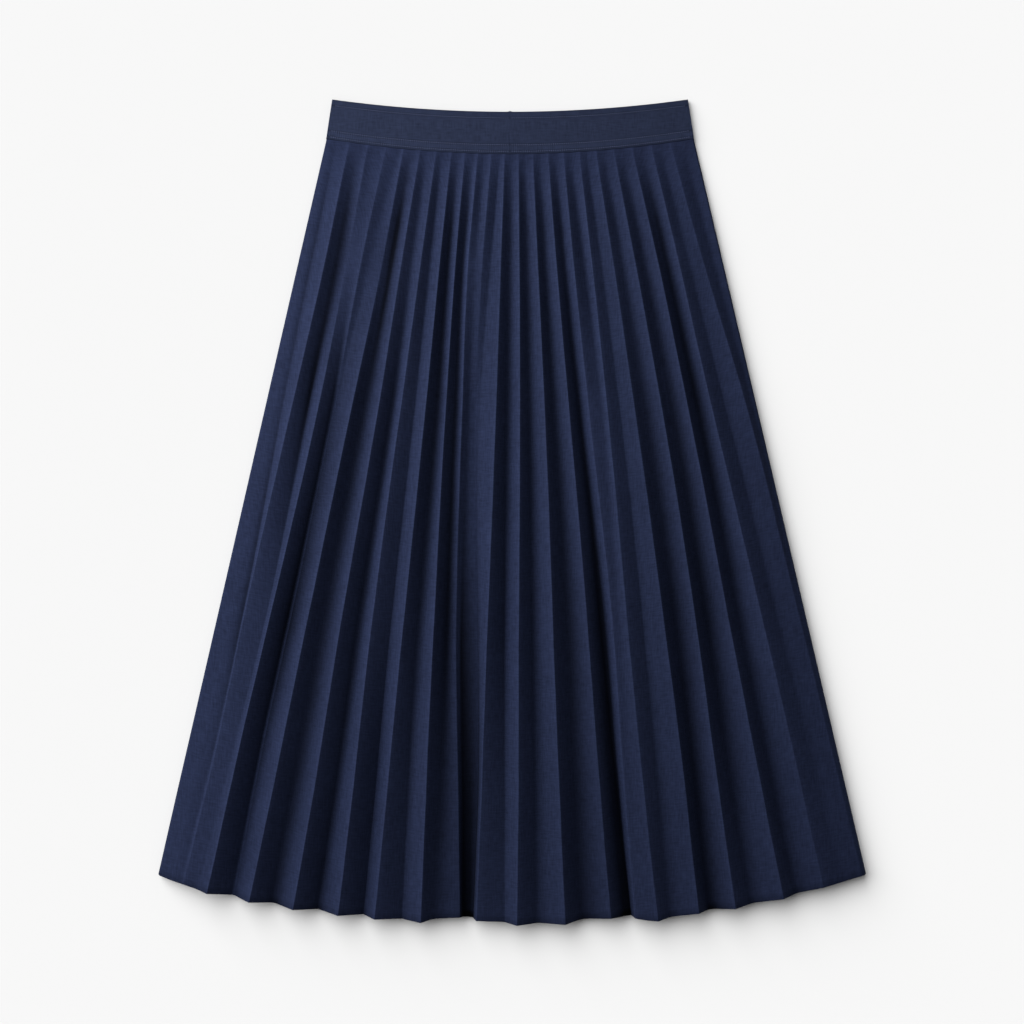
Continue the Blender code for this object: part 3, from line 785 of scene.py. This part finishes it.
def thread_template(sides, stations):
    """One stitch of unit length, width and height: a six-sided loop that swells and closes."""
    turn = np.linspace(0, 2 * np.pi, sides, endpoint=False)
    t = np.linspace(-1, 1, stations)[:, None]
    swell = np.sqrt(np.maximum(1 - (0.985 * t) ** 4, 0))
    across, up = swell * np.cos(turn) / 2, swell * np.sin(turn) / 2
    points = np.stack([np.repeat(t / 2, sides, 1), across, up], axis=2)
    index = np.arange(stations * sides).reshape(stations, sides)
    ahead = np.roll(index, -1, axis=1)
    quads = np.stack([index[:-1], ahead[:-1], ahead[1:], index[1:]], axis=2).reshape(-1, 4)
    caps = [index[0, ::-1].tolist(), index[-1].tolist()]
    return points.reshape(-1, 3), quads, caps


def stitches(name, rows, low, material, shape):
    """Rows of stitches in one mesh, which follow the waistband and are half sunk in it."""
    template, quads, caps = thread_template(6, 5)
    centres, headings = [], []
    for _, edge, inset, pitch in rows:
        depth = stitch_depth(edge, inset)
        count = stitch_count(pitch)
        share = (np.arange(count) - (count - 1) / 2) * pitch / SEAM_HALF
        share = share[np.abs(share) > CENTRE_BARE]
        x, y = band_x(share, depth), band_y(share, depth)
        z = low + BAND + band_relief(share, np.full_like(share, depth)) + THREAD_PROUD
        centres.append(np.stack([x, y, z], axis=1))
        heading = np.stack([np.gradient(x), np.gradient(y), np.zeros_like(x)], axis=1)
        headings.append(heading / np.linalg.norm(heading, axis=1, keepdims=True))
    centres, headings = np.concatenate(centres), np.concatenate(headings)
    up = np.array([0, 0, 1.0])
    side = np.cross(up, headings)
    number = np.arange(len(centres))
    long = shape.stitch_length * (1 + 0.06 * np.sin(number * 1.9))
    points = (
        centres[:, None]
        + headings[:, None] * (template[None, :, :1] * long[:, None, None])
        + side[:, None] * template[None, :, 1:2] * shape.thread
        + up * (template[None, :, 2:] * shape.thread * 0.75)
    )
    start = (number * len(template))[:, None, None]
    faces = (quads[None] + start).reshape(-1, 4).tolist()
    for cap in caps:
        faces += (np.array(cap)[None] + start[:, 0]).tolist()
    return new_piece(name, points.reshape(-1, 3), faces, material)


def node(tree, kind, values=None, **settings):
    """Adds one shader node, with its settings and a number or link for each input given."""
    made = tree.nodes.new("ShaderNode" + kind)
    for key, value in settings.items():
        setattr(made, key, value)
    for key, value in (values or {}).items():
        if isinstance(value, bpy.types.NodeSocket):
            tree.links.new(value, made.inputs[key])
        else:
            made.inputs[key].default_value = value
    return made


def maths(tree, operation, *values):
    """One sum of numbers or links, by the name of its operation."""
    return node(tree, "Math", dict(enumerate(values)), operation=operation).outputs[0]


def new_group(name, inputs, outputs):
    """An empty shader group and its sockets: numbers, apart from "Cloth", a place on the cloth."""
    tree = bpy.data.node_groups.new(name, "ShaderNodeTree")
    for way, labels in (("INPUT", inputs), ("OUTPUT", outputs)):
        for label in labels:
            kind = "NodeSocketVector" if label == "Cloth" else "NodeSocketFloat"
            tree.interface.new_socket(label, in_out=way, socket_type=kind)
    return tree, tree.nodes.new("NodeGroupInput").outputs, tree.nodes.new("NodeGroupOutput").inputs


def weave_group():
    """A fine twill: two sets of yarns that cross, with floats that step to one side."""
    tree, given, out = new_group("twill_weave", ("Cloth", "Yarn Pitch"), ("Height", "Tint"))
    place = node(tree, "SeparateXYZ", {0: given["Cloth"]}).outputs
    turn = maths(tree, "DIVIDE", 2 * np.pi, given["Yarn Pitch"])
    warp = maths(tree, "SINE", maths(tree, "MULTIPLY", place["X"], turn))
    weft = maths(tree, "SINE", maths(tree, "MULTIPLY", place["Y"], turn))
    slant = maths(tree, "MULTIPLY", maths(tree, "ADD", place["X"], place["Y"]), turn)
    twill = maths(tree, "SINE", maths(tree, "MULTIPLY", slant, 0.5))
    cross = maths(tree, "MULTIPLY_ADD", warp, 0.25, maths(tree, "MULTIPLY", weft, 0.2))
    height = maths(tree, "MULTIPLY_ADD", twill, 0.35, cross)
    tree.links.new(maths(tree, "MULTIPLY_ADD", height, 0.5, 0.5), out["Height"])
    tree.links.new(maths(tree, "MULTIPLY_ADD", height, 0.10, 1.0), out["Tint"])
    return tree


def slub_group():
    """Uneven yarns and dye: thin streaks each way of the cloth, and broad soft patches."""
    tree, given, out = new_group("slub_and_dye", ("Cloth", "Streaks", "Patches"), ("Tint", "Height"))
    streaks = []
    for scale in ((750.0, 90.0, 1.0), (110.0, 750.0, 1.0)):
        mapped = node(tree, "Mapping", {"Vector": given["Cloth"], "Scale": scale}).outputs[0]
        noise = node(tree, "TexNoise", {"Vector": mapped, "Scale": 1.0, "Detail": 2.0})
        streaks.append(maths(tree, "SUBTRACT", noise.outputs["Fac"], 0.5))
    both = maths(tree, "ADD", *streaks)
    patch = node(tree, "TexNoise", {"Vector": given["Cloth"], "Scale": 26.0, "Detail": 3.0})
    soft = maths(tree, "SUBTRACT", patch.outputs["Fac"], 0.5)
    tint = maths(tree, "MULTIPLY_ADD", both, given["Streaks"], 1.0)
    tint = maths(tree, "MULTIPLY_ADD", soft, given["Patches"], tint)
    tree.links.new(tint, out["Tint"])
    tree.links.new(both, out["Height"])
    return tree


def fold_light_group():
    """Painted light on the folds: a highlight on pressed ridges, shade in valleys and along edges."""
    tree, given, out = new_group(
        "painted_fold_light",
        ("Press_And_Highlight", "Painted_Shade", "Edge", "Painted Highlight Strength", "Painted Shade Strength", "Painted Edge Shade Strength"),
        ("Tint", "Worn"),
    )
    # Lighter by the painted highlight, darker by the painted shade in valleys and along edges.
    lighter = maths(tree, "MULTIPLY_ADD", given["Press_And_Highlight"], given["Painted Highlight Strength"], 1.0)
    darker = maths(tree, "MULTIPLY", given["Painted_Shade"], given["Painted Shade Strength"])
    darker = maths(tree, "MULTIPLY_ADD", given["Edge"], given["Painted Edge Shade Strength"], darker)
    left = maths(tree, "MAXIMUM", maths(tree, "SUBTRACT", 1.0, darker), 0.0)
    tree.links.new(maths(tree, "MULTIPLY", lighter, left), out["Tint"])
    tree.links.new(given["Press_And_Highlight"], out["Worn"])
    return tree


def shared_group(tree, name, build, values):
    """Places a shader group, which is made once, in a material with its own values."""
    group = bpy.data.node_groups.get(name) or build()
    return node(tree, "Group", values, node_tree=group).outputs


def new_material(name):
    """A material, its nodes, and its shader's inputs."""
    material = bpy.data.materials.new(name)
    material.use_nodes = True
    return material, material.node_tree, material.node_tree.nodes["Principled BSDF"].inputs


def tinted(tree, colour, tint):
    """A colour times a tint that changes over the surface."""
    values = {0: tuple(colour), 1: tint}
    return node(tree, "VectorMath", values, operation="MULTIPLY").outputs[0]


def cloth_material(name, colour, look):
    """Woven navy cloth: colour times weave and slub tints and painted fold highlight and shade, and a
    fine woven bump.
    """
    # ridge is how strong the painted highlight is, valley and edge how strong the painted shade is.
    streaks, patches, ridge, valley, edge = CLOTHS[name]
    material, tree, surface = new_material(name)
    cloth = node(tree, "UVMap", uv_map="cloth").outputs["UV"]
    weave = shared_group(tree, "twill_weave", weave_group, {"Cloth": cloth, "Yarn Pitch": look.yarn})
    amounts = {"Cloth": cloth, "Streaks": streaks, "Patches": patches}
    slub = shared_group(tree, "slub_and_dye", slub_group, amounts)
    fold_light_inputs = {"Painted Highlight Strength": ridge, "Painted Shade Strength": valley, "Painted Edge Shade Strength": edge}
    # The masks of painted highlight and painted shade that the pieces carry.
    for mask in ("Press_And_Highlight", "Painted_Shade", "Edge"):
        fold_light_inputs[mask] = node(tree, "Attribute", attribute_name=mask.lower()).outputs["Fac"]
    fold_light = shared_group(tree, "painted_fold_light", fold_light_group, fold_light_inputs)
    tint = maths(tree, "MULTIPLY", weave["Tint"], slub["Tint"])
    tint = maths(tree, "MULTIPLY", tint, fold_light["Tint"])
    tree.links.new(tinted(tree, colour, tint), surface["Base Color"])
    rough = maths(tree, "MULTIPLY_ADD", fold_light["Worn"], -0.12, look.roughness)
    tree.links.new(rough, surface["Roughness"])
    height = maths(tree, "MULTIPLY_ADD", slub["Height"], 0.6, weave["Height"])
    bump = node(tree, "Bump", {"Height": height, "Strength": 0.45, "Distance": 0.00012})
    tree.links.new(bump.outputs["Normal"], surface["Normal"])
    surface["Specular IOR Level"].default_value = 0.03
    surface["Sheen Weight"].default_value = look.sheen
    surface["Sheen Roughness"].default_value = 0.5
    surface["Sheen Tint"].default_value = (0.55, 0.62, 0.85, 1.0)
    return material


def thread_material(look):
    """Twisted sewing thread: fine slanted lines in colour and bump."""
    material, tree, surface = new_material("navy_thread")
    place = node(tree, "TexCoord").outputs["Object"]
    slant = node(tree, "Mapping", {"Vector": place, "Rotation": (0, 0, 0.9)}).outputs[0]
    wave = node(tree, "TexWave", {"Vector": slant, "Scale": 1300.0, "Distortion": 0.6})
    twist = wave.outputs["Fac"]
    tint = maths(tree, "MULTIPLY_ADD", twist, 0.5, 0.75)
    tree.links.new(tinted(tree, look.thread_navy, tint), surface["Base Color"])
    bump = node(tree, "Bump", {"Height": twist, "Strength": 0.3, "Distance": 0.00005})
    tree.links.new(bump.outputs["Normal"], surface["Normal"])
    surface["Roughness"].default_value = 0.55
    surface["Sheen Weight"].default_value = 0.1
    return material


def suiting(name, colour, look):
    """One of the cloths, made the first time it is asked for."""
    return bpy.data.materials.get(name) or cloth_material(name, colour, look)


def settle(piece, nodes):
    """Puts a piece on the skirt's one body, in place of its CAD solids."""
    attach(piece, "root")
    if nodes:
        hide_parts(*nodes)


def settings():
    """The three groups of properties."""
    scene = bpy.context.scene
    return scene.skirt_shape, scene.skirt_look, scene.skirt_stage


def levels(count):
    """Rows down the skirt, closer together under the waistband."""
    return np.linspace(0, 1, count) ** ROW_CROWDING


class SKIRT_OT_front_panel(bpy.types.Operator):
    """Make the pleated front panel"""

    bl_idname = "skirt.front_panel"
    bl_label = "Front Panel"

    def execute(self, context):
        shape, look, _ = settings()
        down = levels(110)
        lines, strength = front_lines(down, shape)
        shade, reach = valley_shapes(down, lines.shape[1])
        piece = pleated_panel(
            "front_panel", lines, strength, shade, reach, down, FRONT_CREASES, look, shape
        )
        settle(piece, ["skirt_front"])
        return {"FINISHED"}


class SKIRT_OT_back_panel(bpy.types.Operator):
    """Make the pleated back panel"""

    bl_idname = "skirt.back_panel"
    bl_label = "Back Panel"

    def execute(self, context):
        shape, look, _ = settings()
        down = levels(90)
        lines, strength = back_lines(down)
        plain = np.ones_like(strength)
        piece = pleated_panel(
            "back_panel", lines, strength, plain, plain, down, BACK_CREASES, look, shape
        )
        settle(piece, ["skirt_back"])
        return {"FINISHED"}


class SKIRT_OT_waistband(bpy.types.Operator):
    """Make the waistband: two front halves that meet at the centre seam, and the back"""

    bl_idname = "skirt.waistband"
    bl_label = "Waistband"

    def execute(self, context):
        look = settings()[1]
        cloth = suiting("waistband_suiting", look.band_navy, look)
        seam = CENTRE_GAP / TOP_HALF
        back = waistband_strip("back_band", -1.0, 1.0, 0.0, 260, False, cloth)
        left = waistband_strip("front_band_left", -1.0, -seam, FRONT_BAND_Z, 480, True, cloth)
        right = waistband_strip("front_band_right", seam, 1.0, FRONT_BAND_Z, 480, True, cloth)
        settle(back, ["waistband_back"])
        settle(left, ["waistband_front_left"])
        settle(right, ["waistband_front_right"])
        return {"FINISHED"}


class SKIRT_OT_stitching(bpy.types.Operator):
    """Sew the rows of stitches on the front waistband"""

    bl_idname = "skirt.stitching"
    bl_label = "Stitching"

    def execute(self, context):
        shape, look, _ = settings()
        piece = stitches("band_stitches", STITCH_ROWS, FRONT_BAND_Z, thread_material(look), shape)
        settle(piece, [])
        return {"FINISHED"}


def lamp(name, light, toward, distance, lit):
    """A light that points at the skirt's middle, and lights only the objects named."""
    obj = bpy.data.objects.new(name, light)
    toward = Vector(toward).normalized()
    obj.rotation_mode = "QUATERNION"
    obj.rotation_quaternion = toward.to_track_quat("Z", "Y")
    obj.location = toward * distance
    bpy.context.scene.collection.objects.link(obj)
    group = bpy.data.collections.new(name + "_lights")
    for piece in lit:
        group.objects.link(bpy.data.objects[piece])
    obj.light_linking.receiver_collection = group


class SKIRT_OT_stage(bpy.types.Operator):
    """Set the floor, the light and the camera"""

    bl_idname = "skirt.stage"
    bl_label = "Stage"

    def execute(self, context):
        stage = settings()[2]
        scene = context.scene
        floor_mesh = bpy.data.meshes.new("studio_floor")
        corners = ((-1, -1), (1, -1), (1, 1), (-1, 1))
        floor_mesh.from_pydata(
            [(x * FLOOR_HALF, y * FLOOR_HALF, FLOOR_Z) for x, y in corners], [], [(0, 1, 2, 3)]
        )
        floor = bpy.data.objects.new("studio_floor", floor_mesh)
        scene.collection.objects.link(floor)
        paper, _, surface = new_material("floor_paper")
        surface["Base Color"].default_value = (*stage.floor_white, 1.0)
        surface["Roughness"].default_value = 0.95
        surface["Specular IOR Level"].default_value = 0.0
        floor_mesh.materials.append(paper)

        world = bpy.data.worlds.new("studio_sky")
        world.use_nodes = True
        tree = world.node_tree
        sky = tree.nodes["Background"]
        seen = node(tree, "LightPath").outputs["Is Camera Ray"]
        strength = maths(tree, "MULTIPLY_ADD", seen, stage.backdrop - stage.sky, stage.sky)
        sky.inputs["Color"].default_value = (1.0, 1.0, 1.0, 1.0)
        tree.links.new(strength, sky.inputs["Strength"])
        scene.world = world

        sun = bpy.data.lights.new("floor_light", "SUN")
        sun.energy = stage.floor_sun
        sun.angle = FLOOR_LIGHT_ANGLE
        lamp("floor_light", sun, FLOOR_LIGHT_FROM, 3.0, ["studio_floor"])
        softbox = bpy.data.lights.new("softbox", "AREA")
        softbox.energy = stage.softbox
        softbox.size = stage.softbox_size
        lamp("softbox", softbox, SOFTBOX_FROM, SOFTBOX_AWAY, SKIRT_PIECES)

        camera = bpy.data.cameras.new("studio_camera")
        camera.lens = stage.lens
        camera.sensor_width = 36.0
        camera.clip_start = 0.01
        camera.clip_end = 60.0
        eye = bpy.data.objects.new("studio_camera", camera)
        eye.location = (*CAMERA_OVER, stage.camera_height)
        scene.collection.objects.link(eye)
        scene.camera = eye
        scene.view_settings.view_transform = "Standard"
        scene.view_settings.look = "None"
        return {"FINISHED"}


SKIRT_PIECES = (
    "back_panel", "front_panel", "back_band", "front_band_left", "front_band_right", "band_stitches"
)
OPERATORS = (
    SKIRT_OT_back_panel, SKIRT_OT_front_panel, SKIRT_OT_waistband, SKIRT_OT_stitching, SKIRT_OT_stage
)


class SKIRT_PT_sidebar(bpy.types.Panel):
    """Lists the pieces of the skirt and their settings"""

    bl_idname = "SKIRT_PT_sidebar"
    bl_label = "Pleated Skirt"
    bl_space_type = "VIEW_3D"
    bl_region_type = "UI"
    bl_category = "Skirt"

    def draw(self, context):
        for operator in OPERATORS:
            self.layout.operator(operator.bl_idname)
        for group in settings():
            for name in group.bl_rna.properties.keys():
                if name not in ("rna_type", "name"):
                    self.layout.prop(group, name)


GROUPS = (("skirt_shape", SkirtShape), ("skirt_look", SkirtLook), ("skirt_stage", SkirtStage))


def register():
    for name, group in GROUPS:
        bpy.utils.register_class(group)
        setattr(bpy.types.Scene, name, PointerProperty(type=group))
    for each in (*OPERATORS, SKIRT_PT_sidebar):
        bpy.utils.register_class(each)


def unregister():
    for each in (SKIRT_PT_sidebar, *reversed(OPERATORS)):
        bpy.utils.unregister_class(each)
    for name, group in reversed(GROUPS):
        delattr(bpy.types.Scene, name)
        bpy.utils.unregister_class(group)


def main():
    register()
    bpy.ops.skirt.back_panel()
    bpy.ops.skirt.front_panel()
    bpy.ops.skirt.waistband()
    bpy.ops.skirt.stitching()
    bpy.ops.skirt.stage()


if __name__ == "__main__":
    main()
